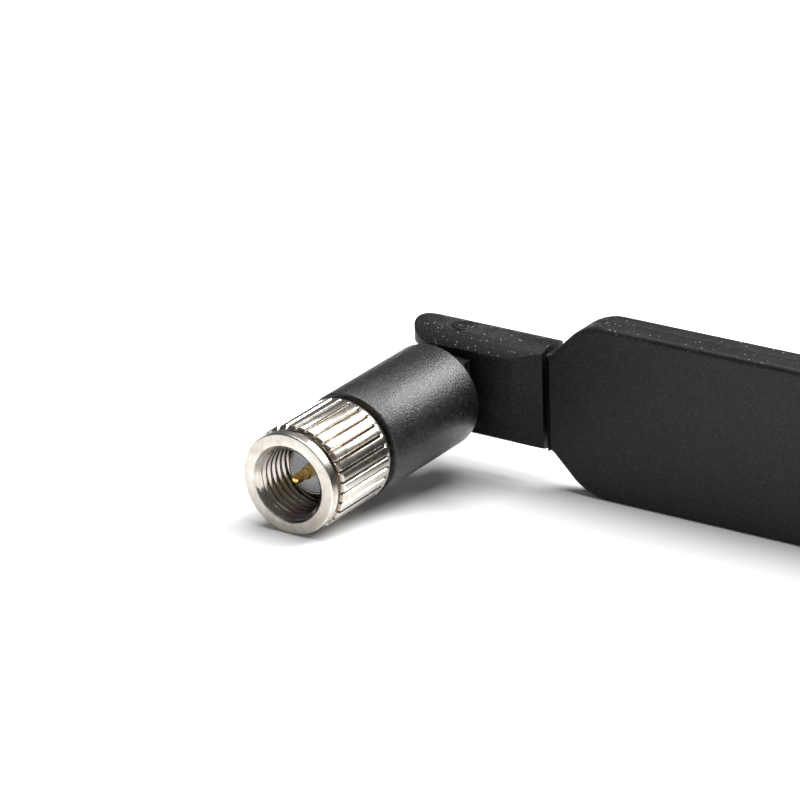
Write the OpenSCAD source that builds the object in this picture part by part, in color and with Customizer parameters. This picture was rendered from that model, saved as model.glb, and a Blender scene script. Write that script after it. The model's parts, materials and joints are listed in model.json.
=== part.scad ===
// Hinged blade antenna with a threaded coaxial plug, as fitted to a wifi adapter or router.
// Built in an upright working frame and laid down at the end by module laid_down().
// Working frame: origin on the tilt hinge axis, X toward the blade tip, -Y toward the plug,
// Z along the hinge axis. Distances named *_at are measured from the hinge along the plug axis.
// Finished frame: the part rests on z = 0 with the middle of its box over the origin.

/* [Blade] */
// length from hinge axis to blade tip
blade_reach = 85; // [70:1:160]
// full width of the blade
blade_w = 16; // [15:0.5:20]
// full thickness of the blade
blade_t = 3.8; // [3.8:0.1:5]
// radius of the blade's long edges
blade_edge_r = 0.55; // [0.3:0.05:0.8]
// radius of the two corners at the tip
tip_r = 5; // [3:0.5:7]
// wall thickness of the two half shells
shell_wall = 0.8; // [0.7:0.05:0.9]

/* [Hinge arm] */
// diameter of the round arm stub
arm_d = 9.5; // [9.5:0.1:10.5]
// thickness of the arm between its two flats
arm_flat_t = 5.8; // [5.4:0.1:6.2]
// distance from hinge axis to the start of the sloping facets
facet_x = 6.4; // [6:0.1:7]
// distance from hinge axis to the seam with the blade
seam_x = 9.05; // [8.8:0.05:9.3]
// thickness of the arm where it meets the blade
arm_seam_t = 3.46; // [3.2:0.02:3.7]
// how far the fork ears reach past the hinge axis
ear_reach = 4.6; // [4.4:0.05:4.7]
// diameter of each hinge pin
hinge_pin_d = 2; // [1.6:0.1:2.2]
// thickness of the sleeve's tongue between the fork ears
tongue_t = 6.2; // [5.8:0.1:6.3]
// gap each side between tongue and fork
hinge_gap = 0.1; // [0.08:0.01:0.15]

/* [Sleeve] */
// outer diameter of the swivel sleeve
sleeve_d = 9.5; // [9.5:0.1:10.5]
// distance from hinge axis to the sleeve's shoulder
sleeve_back_at = 5.1; // [5:0.05:5.3]
// distance from hinge axis to the sleeve's front face
sleeve_front_at = 17.9; // [17.9:0.1:18.2]

/* [Plug] */
// distance from hinge axis to the front of the coupling nut
nut_front_at = 27.15; // [27.1:0.05:27.4]
// distance from hinge axis to the back of the coupling nut
nut_back_at = 18.1; // [18.05:0.05:18.25]
// diameter of the nut's plain front ring
nut_ring_d = 9; // [8.8:0.1:9.2]
// diameter over the nut's knurled crests
knurl_d = 9.3; // [9.2:0.05:9.4]
// number of knurl grooves
knurl_count = 30; // [20:1:36]
// minor diameter of the nut's internal thread
thread_minor_d = 5.7; // [5.6:0.02:5.74]
// major diameter of the nut's internal thread
thread_major_d = 6.35; // [6.3:0.01:6.4]
// thread pitch, 36 threads per inch
thread_pitch = 0.7056; // [0.7056]
// depth of the mating plane behind the nut's front
mating_depth = 3.45; // [3.3:0.05:3.6]
// diameter of the outer contact
contact_d = 4.6; // [4.55:0.01:4.65]
// diameter of the centre pin
center_pin_d = 0.91; // [0.9:0.01:0.94]
// how far the centre pin stands out of the mating plane
center_pin_reach = 2.5; // [2.2:0.1:2.6]

/* [Cable and board] */
// outer diameter of the coaxial cable
cable_d = 1.13; // [1.1:0.01:1.2]
// thickness of the printed antenna board
board_t = 0.6; // [0.5:0.05:0.65]
// width of the printed antenna board
board_w = 11; // [9:0.5:11]
// length of the printed antenna board
board_l = 60; // [50:1:60]

/* [Hidden] */
$fn = 96;

black_plastic = [0.06, 0.06, 0.065];
nickel = [0.78, 0.76, 0.72];
gold = [0.83, 0.62, 0.28];
brass = [0.72, 0.58, 0.3];
ptfe = [0.86, 0.86, 0.84];
copper = [0.8, 0.45, 0.28];
solder = [0.7, 0.7, 0.72];
board_green = [0.1, 0.32, 0.16];
jacket_grey = [0.12, 0.12, 0.12];
braid_tin = [0.66, 0.65, 0.63];

// ---- resting attitude: the blade's lower edge and the nut's rim both touch the ground plane ----
nut_rim_break = 0.15;
lug_r = 4.6;
edge_centre_y = blade_t / 2 - blade_edge_r;
edge_centre_z = blade_w / 2 - blade_edge_r;
rim_lever = nut_front_at - nut_rim_break - edge_centre_y;
rim_drop = edge_centre_z - nut_ring_d / 2;
lean = atan2(rim_drop, rim_lever) + asin(blade_edge_r / norm([rim_lever, rim_drop]));
rest_height = edge_centre_y * sin(lean) + edge_centre_z * cos(lean) + blade_edge_r;
front_y = -nut_front_at * cos(lean) - (nut_ring_d / 2 - nut_rim_break) * sin(lean);
back_y = lug_r * cos(lean) + tongue_t / 2 * sin(lean);

// ---- plug, measured along the plug axis ----
mating_at = nut_front_at - mating_depth;
contact_r = contact_d / 2;
contact_wall = 0.26;
flange_front_at = mating_at - 2.4;
flange_back_at = flange_front_at - 0.65;
ring_groove_back_at = flange_back_at - 0.8;
body_r = 2.7;
ring_groove_r = 2.2;
collar_r = 3.5;
collar_front_at = 16.8;
collar_back_at = 15.6;
stub_r = 0.8;
stub_back_at = 12.9;
insulator_back_at = 19;
rear_chamber_r = 1.05;
dielectric_r = 0.3;
core_r = 0.13;
braid_wall = 0.1;
pin_base_r = 0.55;
pin_base_l = 0.9;
pin_base_taper = 0.02;
pin_tail_r = 0.28;
cup_back_at = 17.9;
cup_r = 0.64;
cup_bore_r = 0.16;
ferrule_r = 1.45;

// ---- nut ----
nut_bore_r = body_r + 0.1;
nut_relief_r = 3.3;
nut_groove_r = 3.15;
thread_back_at = 21.9;
ring_band = 0.9;
recess_band = 0.65;
recess_drop = 0.22;
nut_back_break = 0.75;
nut_mouth_r = 3.42;
knurl_depth = 0.32;
knurl_width = 0.44;
knurl_front_at = nut_front_at - ring_band - recess_band;
knurl_back_at = nut_back_at + nut_back_break;

// ---- sleeve ----
bushing_r = 4;
bushing_front_at = sleeve_front_at - 0.05;
bushing_back_at = 16.95;
collar_room_r = collar_r + 0.2;
collar_room_back_at = collar_back_at - 0.25;
sleeve_room_r = 2.6;
sleeve_room_back_at = 6.4;
sleeve_edge = 0.25;
tongue_r = 3.4;
tongue_step_at = arm_flat_t / 2 + 0.25;
tongue_root_half = 2.6;
lug_inner_x = 3.1;
slot_root_r = tongue_r + 0.25;
cable_slot_t = 1.6;

// ---- cable ----
cable_r = cable_d / 2;
cable_y = -0.2;
bend_r = 3;
bend_start_at = bend_r - cable_y;
cable_bore_r = 0.75;
jacket_end_x = 42;
braid_end_x = 44.2;
dielectric_end_x = 45.2;
core_end_x = 47;

// ---- blade ----
seam_gap = 0.25;
neck_x = seam_x + seam_gap;
neck_half = 4.5;
neck_end_x = 9.6;
neck_fillet = 0.6;
shoulder_r = 4.7;
shoulder_x = neck_end_x + neck_fillet * tan(22.5) + (blade_w / 2 - neck_half) + shoulder_r * tan(22.5);
parting_gap = 0.04;
lip_h = 0.45;
lip_t = 0.35;
inner_y = blade_t / 2 - shell_wall;
spigot_x = seam_x + 4;
spigot_half = 3;
spigot_t = 2.1;
notch_x = seam_x + 1.9;
notch_l = 1.2;
notch_depth = 0.6;

// ---- board ----
board_x = 18;
copper_t = 0.05;
board_front_y = cable_y + cable_r + copper_t + 0.02;
board_back_y = board_front_y + board_t;
peg_x = [board_x + 4, board_x + board_l - 4];
peg_z = 3.6;
peg_r = 0.55;

// puts the working frame in the resting attitude, centred over the origin on the ground plane
module laid_down() {
    translate([-(blade_reach - sleeve_d / 2) / 2, -(front_y + back_y) / 2, rest_height])
        rotate([lean, 0, 0])
            children();
}

// stands children on the plug axis, their +Z toward the front of the plug
module on_plug_axis(at = 0) {
    translate([0, -at, 0])
        rotate([90, 0, 0])
            children();
}

// solid of revolution on the plug axis from [radius, distance] points
module turned(points) {
    on_plug_axis()
        rotate_extrude()
            polygon(points);
}

// plain tube on the plug axis
module plug_tube(outer, inner, back, front) {
    turned([[inner, back], [outer, back], [outer, front], [inner, front]]);
}

// round bar along X
module bar_x(r, x0, x1, y = 0, z = 0) {
    translate([x0, y, z])
        rotate([0, 90, 0])
            cylinder(r = r, h = x1 - x0);
}

// tube along X
module tube_x(outer, inner, x0, x1, y = 0) {
    difference() {
        bar_x(outer, x0, x1, y);
        bar_x(inner, x0 - 1, x1 + 1, y);
    }
}

// block between two corners
module block(low, high) {
    translate(low)
        cube(high - low);
}

// ---------------- plug ----------------

module plug_body() {
    laid_down()
        color(nickel)
            turned([
                [contact_r - contact_wall, mating_at],
                [contact_r, mating_at],
                [contact_r, flange_front_at],
                [body_r, flange_front_at],
                [body_r, flange_back_at],
                [ring_groove_r, flange_back_at],
                [ring_groove_r, ring_groove_back_at],
                [body_r, ring_groove_back_at],
                [body_r, collar_front_at],
                [collar_r, collar_front_at],
                [collar_r, collar_back_at],
                [stub_r, collar_back_at],
                [stub_r, stub_back_at],
                [dielectric_r + 0.04, stub_back_at],
                [dielectric_r + 0.04, collar_back_at + 0.8],
                [rear_chamber_r, collar_back_at + 0.8],
                [rear_chamber_r, insulator_back_at - 0.4],
                [contact_r - contact_wall, insulator_back_at - 0.4],
            ]);
}

module plug_insulator() {
    outer = contact_r - contact_wall - 0.02;
    bore = pin_tail_r + 0.02;
    base_room = pin_base_r + 0.02;
    laid_down()
        color(ptfe)
            turned([
                [bore, mating_at - 0.75],
                [base_room, mating_at - 0.75],
                [base_room, mating_at - 0.06],
                [outer, mating_at - 0.06],
                [outer, insulator_back_at],
                [bore, insulator_back_at],
            ]);
}

module center_pin() {
    r = center_pin_d / 2;
    tip_at = mating_at + center_pin_reach;
    laid_down()
        color(gold)
            turned([
                [0, tip_at],
                [0.25, tip_at],
                [r, tip_at - 0.45],
                [r, mating_at + pin_base_l],
                [pin_base_r, mating_at + pin_base_l - 0.1],
                [pin_base_r - pin_base_taper, mating_at - 0.7],
                [pin_tail_r, mating_at - 0.7],
                [pin_tail_r, insulator_back_at - 0.05],
                [cup_r, insulator_back_at - 0.05],
                [cup_r, cup_back_at],
                [cup_bore_r, cup_back_at],
                [cup_bore_r, cup_back_at + 1.2],
                [0, cup_back_at + 1.2],
            ]);
}

module crimp_ferrule() {
    inner = stub_r + 0.02 + braid_wall + 0.02;
    laid_down()
        color(brass)
            plug_tube(ferrule_r, inner, stub_back_at - 0.6, collar_back_at - 0.1);
}

module cable_jacket_lower() {
    laid_down()
        color(jacket_grey)
            plug_tube(cable_r, dielectric_r + braid_wall, bend_start_at, stub_back_at - 0.7);
}

module cable_braid_lower() {
    inner = stub_r + 0.02;
    laid_down()
        color(braid_tin)
            turned([
                [dielectric_r + 0.01, bend_start_at],
                [dielectric_r + braid_wall - 0.01, bend_start_at],
                [dielectric_r + braid_wall - 0.01, stub_back_at - 0.65],
                [inner + braid_wall, stub_back_at - 0.15],
                [inner + braid_wall, collar_back_at - 0.2],
                [inner, collar_back_at - 0.2],
                [inner, stub_back_at - 0.1],
                [dielectric_r + 0.01, stub_back_at - 0.5],
            ]);
}

module cable_dielectric_lower() {
    laid_down()
        color(ptfe)
            plug_tube(dielectric_r, core_r + 0.01, bend_start_at, cup_back_at - 0.3);
}

module cable_core_lower() {
    laid_down()
        color(copper)
            on_plug_axis(bend_start_at)
                cylinder(r = core_r, h = cup_back_at + 1.1 - bend_start_at);
}

// ---------------- nut ----------------

// one groove outline of the knurl, standing on its crest circle
module knurl_groove() {
    polygon([
        [-knurl_width / 2, knurl_d / 2 + 0.01],
        [0, knurl_d / 2 - knurl_depth],
        [knurl_width / 2, knurl_d / 2 + 0.01],
        [0, knurl_d / 2 + 1],
    ]);
}

module coupling_nut() {
    ring_r = nut_ring_d / 2;
    recess_r = ring_r - recess_drop;
    crest_r = knurl_d / 2;
    minor_r = thread_minor_d / 2;
    major_r = thread_major_d / 2;
    mouth_at = nut_front_at - (nut_mouth_r - minor_r);
    turns = floor((mouth_at - thread_back_at) / thread_pitch);
    flank = thread_pitch * 0.42;
    thread = [
        for (i = [0:turns - 1])
            for (p = [[minor_r, 0.1], [major_r, 0.1 + flank], [major_r, 0.16 + flank], [minor_r, 0.16 + 2 * flank]])
                [p[0], mouth_at - i * thread_pitch - p[1]]
    ];
    laid_down()
        color(nickel)
            difference() {
                turned(concat(
                    [[nut_mouth_r, nut_front_at], [minor_r, mouth_at]],
                    thread,
                    [
                        [minor_r, thread_back_at],
                        [nut_relief_r, thread_back_at],
                        [nut_relief_r, flange_back_at + 0.3],
                        [nut_bore_r, flange_back_at + 0.3],
                        [nut_bore_r, flange_back_at - 0.02],
                        [nut_groove_r, flange_back_at - 0.02],
                        [nut_groove_r, ring_groove_back_at + 0.06],
                        [nut_bore_r, ring_groove_back_at + 0.06],
                        [nut_bore_r, nut_back_at],
                        [crest_r - 0.45, nut_back_at],
                        [crest_r - 0.05, nut_back_at + 0.5],
                        [crest_r, knurl_back_at],
                        [crest_r, knurl_front_at + 0.05],
                        [crest_r - 0.1, knurl_front_at + 0.15],
                        [recess_r, knurl_front_at + 0.2],
                        [recess_r, nut_front_at - ring_band - 0.1],
                        [ring_r, nut_front_at - ring_band],
                        [ring_r, nut_front_at - nut_rim_break],
                        [ring_r - nut_rim_break, nut_front_at],
                    ]
                ));
                on_plug_axis(knurl_back_at - 0.2)
                    for (i = [0:knurl_count - 1])
                        rotate([0, 0, i * 360 / knurl_count])
                            linear_extrude(height = knurl_front_at - knurl_back_at + 0.6)
                                knurl_groove();
            }
}

module nut_retaining_ring() {
    laid_down()
        color(brass)
            difference() {
                plug_tube(
                    nut_groove_r - 0.05, ring_groove_r + 0.12,
                    ring_groove_back_at + 0.1, flange_back_at - 0.06
                );
                translate([0, -(flange_back_at + 1), 0])
                    block([-0.4, 0, 0], [0.4, 4, 4]);
            }
}

// ---------------- sleeve ----------------

// tongue seen along the hinge axis: round head, narrow root and the lug that stops the arm when straight
module tongue_plan() {
    circle(r = tongue_r);
    translate([-tongue_root_half, -sleeve_back_at - 0.5])
        square([2 * tongue_root_half, sleeve_back_at + 0.5 - tongue_step_at]);
    polygon([[-lug_r, 0], [-lug_r, 3.3], [-lug_inner_x, lug_r], [-lug_inner_x, 1.2], [-2, 0]]);
}

module tongue() {
    translate([0, 0, -tongue_t / 2])
        linear_extrude(height = tongue_t)
            tongue_plan();
}

module swivel_sleeve() {
    r = sleeve_d / 2;
    laid_down()
        color(black_plastic)
            difference() {
                union() {
                    turned([
                        [0, sleeve_back_at],
                        [r - sleeve_edge, sleeve_back_at],
                        [r, sleeve_back_at + sleeve_edge],
                        [r, sleeve_front_at - sleeve_edge],
                        [r - sleeve_edge, sleeve_front_at],
                        [0, sleeve_front_at],
                    ]);
                    tongue();
                }
                turned([
                    [0, sleeve_room_back_at],
                    [sleeve_room_r, sleeve_room_back_at],
                    [sleeve_room_r, collar_room_back_at],
                    [collar_room_r, collar_room_back_at],
                    [collar_room_r, bushing_back_at],
                    [bushing_r + 0.01, bushing_back_at],
                    [bushing_r + 0.01, sleeve_front_at + 1],
                    [0, sleeve_front_at + 1],
                ]);
                block(
                    [-1.1, -sleeve_room_back_at - 0.5, -cable_slot_t / 2],
                    [1.1, 0, cable_slot_t / 2]
                );
                block([-1.1, -4.2, -cable_slot_t / 2], [7, 7, cable_slot_t / 2]);
                translate([0, 0, -tongue_t])
                    cylinder(d = hinge_pin_d + 0.1, h = 2 * tongue_t);
            }
}

module sleeve_bushing() {
    laid_down()
        color(brass)
            plug_tube(bushing_r, body_r + 0.1, bushing_back_at + 0.02, bushing_front_at);
}

// ---------------- hinge ----------------

// arm seen along the hinge axis: round ear end, two flats, sloping facets to the seam
module arm_plan() {
    half = arm_flat_t / 2;
    translate([half - ear_reach, 0])
        circle(r = half);
    polygon([
        [half - ear_reach, -half],
        [facet_x, -half],
        [seam_x, -arm_seam_t / 2],
        [seam_x, arm_seam_t / 2],
        [facet_x, half],
        [half - ear_reach, half],
    ]);
}

module hinge_arm() {
    slot_half = tongue_t / 2 + hinge_gap;
    laid_down()
        color(black_plastic)
            difference() {
                union() {
                    intersection() {
                        bar_x(arm_d / 2, -ear_reach - 1, seam_x);
                        translate([0, 0, -arm_d])
                            linear_extrude(height = 2 * arm_d)
                                arm_plan();
                    }
                    block(
                        [seam_x - 0.5, -spigot_t / 2, -spigot_half],
                        [spigot_x, spigot_t / 2, spigot_half]
                    );
                }
                translate([0, 0, -slot_half])
                    cylinder(r = slot_root_r, h = 2 * slot_half);
                block([-ear_reach - 1, -arm_d, -slot_half], [0, arm_d, slot_half]);
                bar_x(cable_bore_r, 3, spigot_x + 1, cable_y);
                translate([0, 0, -arm_d])
                    cylinder(d = hinge_pin_d + 0.02, h = 2 * arm_d);
                for (side = [-1, 1])
                    translate([notch_x + notch_l / 2, 0, side * spigot_half])
                        cube([notch_l, 2 * spigot_t, 2 * notch_depth], center = true);
            }
}

module hinge_pins() {
    inner_end = cable_slot_t / 2 + 0.15;
    outer_end = arm_d / 2 + 0.03;
    laid_down()
        color(black_plastic)
            for (side = [0, 180])
                rotate([side, 0, 0])
                    translate([0, 0, inner_end])
                        cylinder(d = hinge_pin_d, h = outer_end - inner_end);
}

// bend of the cable through the hinge, a quarter ring
module cable_hinge_bend() {
    laid_down()
        color(jacket_grey)
            translate([bend_r, -bend_start_at, 0])
                rotate([0, 0, 90])
                    rotate_extrude(angle = 90)
                        translate([bend_r, 0])
                            circle(r = cable_r);
}

// ---------------- blade ----------------

// outline of the blade drawn inward by inset; x is along the blade, y across it
module blade_outline(inset = 0) {
    half = blade_w / 2 - inset;
    neck = neck_half - inset;
    r_tip = tip_r - inset;
    r_shoulder = shoulder_r - inset;
    tip = blade_reach - inset;
    union() {
        translate([neck_x + inset, -neck])
            square([tip - r_tip - neck_x - inset, 2 * neck]);
        translate([shoulder_x, -half])
            square([tip - r_tip - shoulder_x, 2 * half]);
        translate([tip - r_tip - 1, -half + r_tip])
            square([r_tip + 1, 2 * (half - r_tip)]);
        for (side = [-1, 1]) {
            translate([tip - r_tip, side * (half - r_tip)])
                circle(r = r_tip);
            translate([shoulder_x, side * (half - r_shoulder)])
                circle(r = r_shoulder);
            polygon([
                [shoulder_x, side * (half - r_shoulder)],
                [
                    shoulder_x - r_shoulder * sin(45),
                    side * (half - r_shoulder + r_shoulder * cos(45))
                ],
                [
                    shoulder_x - r_shoulder * tan(22.5) - (half - neck),
                    side * neck
                ],
                [shoulder_x, side * (neck - 2)],
            ]);
        }
    }
}

// blade solid with rounded long edges and tip edge, drawn inward by inset
module blade_solid(inset = 0) {
    half_t = blade_t / 2 - inset;
    half_w = blade_w / 2 - inset;
    r = max(blade_edge_r - inset, 0.05);
    intersection() {
        rotate([90, 0, 0])
            translate([0, 0, -blade_t])
                linear_extrude(height = 2 * blade_t)
                    blade_outline(inset);
        rotate([0, 90, 0])
            linear_extrude(height = blade_reach + 1)
                union() {
                    square([2 * (half_w - r), 2 * half_t], center = true);
                    square([2 * half_w, 2 * (half_t - r)], center = true);
                    for (sx = [-1, 1])
                        for (sy = [-1, 1])
                            translate([sx * (half_w - r), sy * (half_t - r)])
                                circle(r = r);
                }
    }
}

// room inside the shells, closed toward the seam except for the spigot pocket
module blade_room() {
    rotate([90, 0, 0])
        translate([0, 0, -inner_y])
            linear_extrude(height = 2 * inner_y)
                difference() {
                    blade_outline(shell_wall);
                    translate([0, -blade_w])
                        square([board_x - 2.5, 2 * blade_w]);
                }
    block(
        [0, -spigot_t / 2 - 0.03, -spigot_half - 0.03],
        [spigot_x + 0.1, spigot_t / 2 + 0.03, spigot_half + 0.03]
    );
    bar_x(cable_bore_r, spigot_x - 1, board_x, cable_y);
}

// rib that fills the spigot's side notches
module spigot_latches(y0, y1) {
    for (side = [-1, 1])
        block(
            [notch_x + 0.05, y0, side > 0 ? spigot_half - notch_depth + 0.05 : -spigot_half - 0.2],
            [
                notch_x + notch_l - 0.05,
                y1,
                side > 0 ? spigot_half + 0.2 : -spigot_half + notch_depth - 0.05,
            ]
        );
}

// band of the wall that the shells' joint lip runs in
module lip_band(inner, outer) {
    rotate([90, 0, 0])
        translate([0, 0, -lip_h])
            linear_extrude(height = lip_h)
                difference() {
                    blade_outline(inner);
                    blade_outline(outer);
                    translate([0, -blade_w])
                        square([shoulder_x, 2 * blade_w]);
                }
}

module blade_front_shell() {
    laid_down()
        color(black_plastic)
            union() {
                difference() {
                    intersection() {
                        blade_solid();
                        block([0, -blade_t, -blade_w], [blade_reach + 1, 0, blade_w]);
                    }
                    blade_room();
                }
                lip_band(shell_wall - lip_t, shell_wall);
                spigot_latches(-blade_t / 2 + 0.3, -parting_gap);
                for (x = peg_x)
                    for (side = [-1, 1])
                        translate([x, -blade_t / 2 + 0.3, side * (peg_z + 1.1)])
                            rotate([-90, 0, 0])
                                cylinder(r = 0.7, h = blade_t / 2 - 0.3 + board_front_y - copper_t - 0.03);
            }
}

module blade_rear_shell() {
    laid_down()
        color(black_plastic)
            union() {
                difference() {
                    intersection() {
                        blade_solid();
                        block(
                            [0, parting_gap, -blade_w],
                            [blade_reach + 1, blade_t, blade_w]
                        );
                    }
                    blade_room();
                    translate([0, 0.03, 0])
                        lip_band(shell_wall - lip_t - 0.04, shell_wall + 0.1);
                }
                spigot_latches(parting_gap, blade_t / 2 - 0.3);
                for (x = peg_x)
                    for (side = [-1, 1]) {
                        translate([x, board_front_y - 0.1, side * peg_z])
                            rotate([-90, 0, 0])
                                cylinder(r = peg_r, h = blade_t / 2 - 0.3 - board_front_y);
                        translate([x, board_back_y + 0.02, side * peg_z])
                            rotate([-90, 0, 0])
                                cylinder(r = peg_r + 0.5, h = blade_t / 2 - 0.3 - board_back_y);
                    }
            }
}

// ---------------- board ----------------

module antenna_board() {
    laid_down()
        color(board_green)
            difference() {
                block(
                    [board_x, board_front_y, -board_w / 2],
                    [board_x + board_l, board_back_y, board_w / 2]
                );
                for (x = peg_x)
                    for (side = [-1, 1])
                        translate([x, 0, side * peg_z])
                            rotate([-90, 0, 0])
                                cylinder(r = peg_r + 0.08, h = 3);
            }
}

// flat copper areas on the board's front face, given as [x0, x1, z0, z1]
module copper_areas(areas) {
    for (area = areas)
        block(
            [area[0], board_front_y - copper_t, area[2]],
            [area[1], board_front_y, area[3]]
        );
}

module radiator_trace() {
    laid_down()
        color(copper)
            copper_areas([
                [45.4, 48.6, -1.2, 1.2],
                [48, 70, -0.8, 0.8],
                [48, 49.2, -4.6, 4.6],
                [48, 62, 3.4, 4.6],
                [48, 62, -4.6, -3.4],
                [69, 70.2, -4.2, 0.8],
            ]);
}

module ground_trace() {
    laid_down()
        color(copper)
            copper_areas([
                [42.4, 44.8, -4.6, 4.6],
                [30, 44, 3.2, 4.6],
                [30, 44, -4.6, -3.2],
                [25, 43, -0.9, 0.9],
            ]);
}

// ---------------- cable in the blade ----------------

module cable_jacket_upper() {
    laid_down()
        color(jacket_grey)
            tube_x(cable_r, dielectric_r + braid_wall, bend_r, jacket_end_x, cable_y);
}

module cable_braid_upper() {
    laid_down()
        color(braid_tin)
            tube_x(dielectric_r + braid_wall - 0.01, dielectric_r + 0.01, bend_r, braid_end_x, cable_y);
}

module cable_dielectric_upper() {
    laid_down()
        color(ptfe)
            tube_x(dielectric_r, core_r + 0.01, bend_r, dielectric_end_x, cable_y);
}

module cable_core_upper() {
    laid_down()
        color(copper)
            bar_x(core_r, bend_r, core_end_x, cable_y);
}

// low mound of solder standing on the copper, with room for a conductor of the given radius
module solder_mound(x, r, height, conductor_r) {
    sphere_r = (r * r + height * height) / (2 * height);
    difference() {
        intersection() {
            translate([x, board_front_y - copper_t - 0.01 - height + sphere_r, 0])
                sphere(r = sphere_r);
            translate([x, board_front_y - copper_t - 0.01, 0])
                rotate([90, 0, 0])
                    cylinder(r = r, h = height);
        }
        bar_x(conductor_r + 0.01, x - 2 * r, x + 2 * r, cable_y);
    }
}

module core_solder_joint() {
    laid_down()
        color(solder)
            solder_mound(46.6, 1.1, 0.85, core_r);
}

module shield_solder_joint() {
    laid_down()
        color(solder)
            solder_mound(43.5, 1.3, 1.25, dielectric_r + braid_wall);
}

plug_body();
plug_insulator();
center_pin();
crimp_ferrule();
cable_jacket_lower();
cable_braid_lower();
cable_dielectric_lower();
cable_core_lower();
coupling_nut();
nut_retaining_ring();
swivel_sleeve();
sleeve_bushing();
cable_hinge_bend();
hinge_arm();
hinge_pins();
blade_front_shell();
blade_rear_shell();
antenna_board();
radiator_trace();
ground_trace();
cable_jacket_upper();
cable_braid_upper();
cable_dielectric_upper();
cable_core_upper();
core_solder_joint();
shield_solder_joint();
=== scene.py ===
"""Looks of the hinged blade antenna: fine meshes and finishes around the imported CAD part.

Shapes are built in an upright workshop frame in millimetres (origin on the tilt hinge,
X toward the blade tip, -Y toward the plug's front, Z along the hinge axis) and are laid
down into the part's own frame at the end. "at" is a distance from the hinge toward the plug.
"""

import json
import math

import bmesh
import bpy
from mathutils import Matrix, Vector


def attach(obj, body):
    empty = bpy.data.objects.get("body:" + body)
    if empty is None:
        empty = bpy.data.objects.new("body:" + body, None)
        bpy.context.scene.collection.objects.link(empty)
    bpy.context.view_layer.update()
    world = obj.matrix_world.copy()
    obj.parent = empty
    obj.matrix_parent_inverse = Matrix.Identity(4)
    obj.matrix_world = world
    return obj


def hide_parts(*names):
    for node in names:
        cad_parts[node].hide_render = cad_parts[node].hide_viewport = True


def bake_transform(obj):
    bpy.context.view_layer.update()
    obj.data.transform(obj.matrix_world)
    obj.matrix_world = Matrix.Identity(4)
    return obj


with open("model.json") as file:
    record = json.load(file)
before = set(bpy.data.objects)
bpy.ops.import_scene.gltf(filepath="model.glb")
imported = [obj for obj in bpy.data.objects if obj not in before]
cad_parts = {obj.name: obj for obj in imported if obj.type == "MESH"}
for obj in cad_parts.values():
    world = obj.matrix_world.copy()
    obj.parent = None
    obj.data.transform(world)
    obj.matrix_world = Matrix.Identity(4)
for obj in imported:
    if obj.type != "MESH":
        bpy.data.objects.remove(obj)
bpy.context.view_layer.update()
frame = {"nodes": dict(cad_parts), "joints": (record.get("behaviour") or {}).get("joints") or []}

# ---------------------------------------------------------------- workshop frame

MM = 0.001
tilt = next(j for j in frame["joints"] if j["name"] == "hinge_tilt")
hinge_at = Vector(tilt["pos_m"])
lean = math.atan2(-tilt["axis"][1], tilt["axis"][2])
lay_down = Matrix.Translation(hinge_at) @ Matrix.Rotation(lean, 4, "X") @ Matrix.Scale(MM, 4)
stand_up = lay_down.inverted()


def upright_box(node):
    """Lowest and highest corner of a CAD node in the workshop frame, in mm."""
    points = [stand_up @ v.co for v in frame["nodes"][node].data.vertices]
    low = Vector([min(p[i] for p in points) for i in range(3)])
    high = Vector([max(p[i] for p in points) for i in range(3)])
    return low, high


# ---------------------------------------------------------------- driving dimensions, mm

nut_low, nut_high = upright_box("coupling_nut")
NUT_FRONT = -nut_low.y
NUT_BACK = -nut_high.y
RING_R = 4.5
CREST_R = 4.65
RING_BAND = 0.9
KNURL_FRONT = NUT_FRONT - 1.45
KNURL_BACK = NUT_BACK + 0.8
KNURL_COUNT = 30
KNURL_DEPTH = 0.32
MOUTH_R = 3.42
THREAD_MAJOR_R = 3.175
THREAD_MINOR_R = 2.85
THREAD_PITCH = 0.7056
THREAD_BACK = 21.9
NUT_BORE_R = 2.8
NUT_GROOVE_R = 3.15
NUT_RELIEF_R = 3.3

MATING = NUT_FRONT - 3.45
CONTACT_R = 2.3
CONTACT_BORE = 2.04
FLANGE_FRONT = MATING - 2.4
FLANGE_BACK = FLANGE_FRONT - 0.65
GROOVE_BACK = FLANGE_BACK - 0.8
BODY_R = 2.7
RING_GROOVE_R = 2.2
COLLAR_R = 3.5
COLLAR_FRONT = 16.8
COLLAR_BACK = 15.6
STUB_R = 0.8
STUB_BACK = 12.9
STUB_BORE_R = 0.34
INSULATOR_BACK = 19.0
PIN_R = 0.455
PIN_BASE_R = 0.55
PIN_TAIL_R = 0.38
PIN_TIP = MATING + 2.5
CUP_R = 0.64
CUP_BACK = 17.9
CUP_BORE_R = 0.16

SLEEVE_FRONT = -upright_box("swivel_sleeve")[0].y
SLEEVE_R = 4.75
SLEEVE_BACK = 5.1
TONGUE_R = 3.4
LUG_R = 4.6
LUG_INNER_X = 3.1
TONGUE_HALF = 3.1
TONGUE_STEP = 3.15
ROOT_HALF = 2.6
CABLE_SLOT_HALF = 0.8

arm_low, arm_high = upright_box("hinge_arm")
ARM_R = 4.75
ARM_HALF_T = 2.9
EAR_X = arm_low.x + ARM_HALF_T
FACET_X = 6.4
SEAM_X = 9.05
SEAM_HALF_T = 1.73
# drop of the arm's facets in the first millimetre past the seam
FACET_SLOPE = 0.4415
SPIGOT_X = arm_high.x
SPIGOT_HALF = Vector((0, 1.05, 3.0))
CABLE_BORE_R = 0.75
NOTCH_LOW_X = 10.95
NOTCH_HIGH_X = 12.15
NOTCH_INNER_Z = 2.4
SLOT_HALF = TONGUE_HALF + 0.1
SLOT_ROOT_R = TONGUE_R + 0.25
PIN_END = upright_box("hinge_pins")[1].z
HINGE_PIN_R = 1.0

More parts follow.
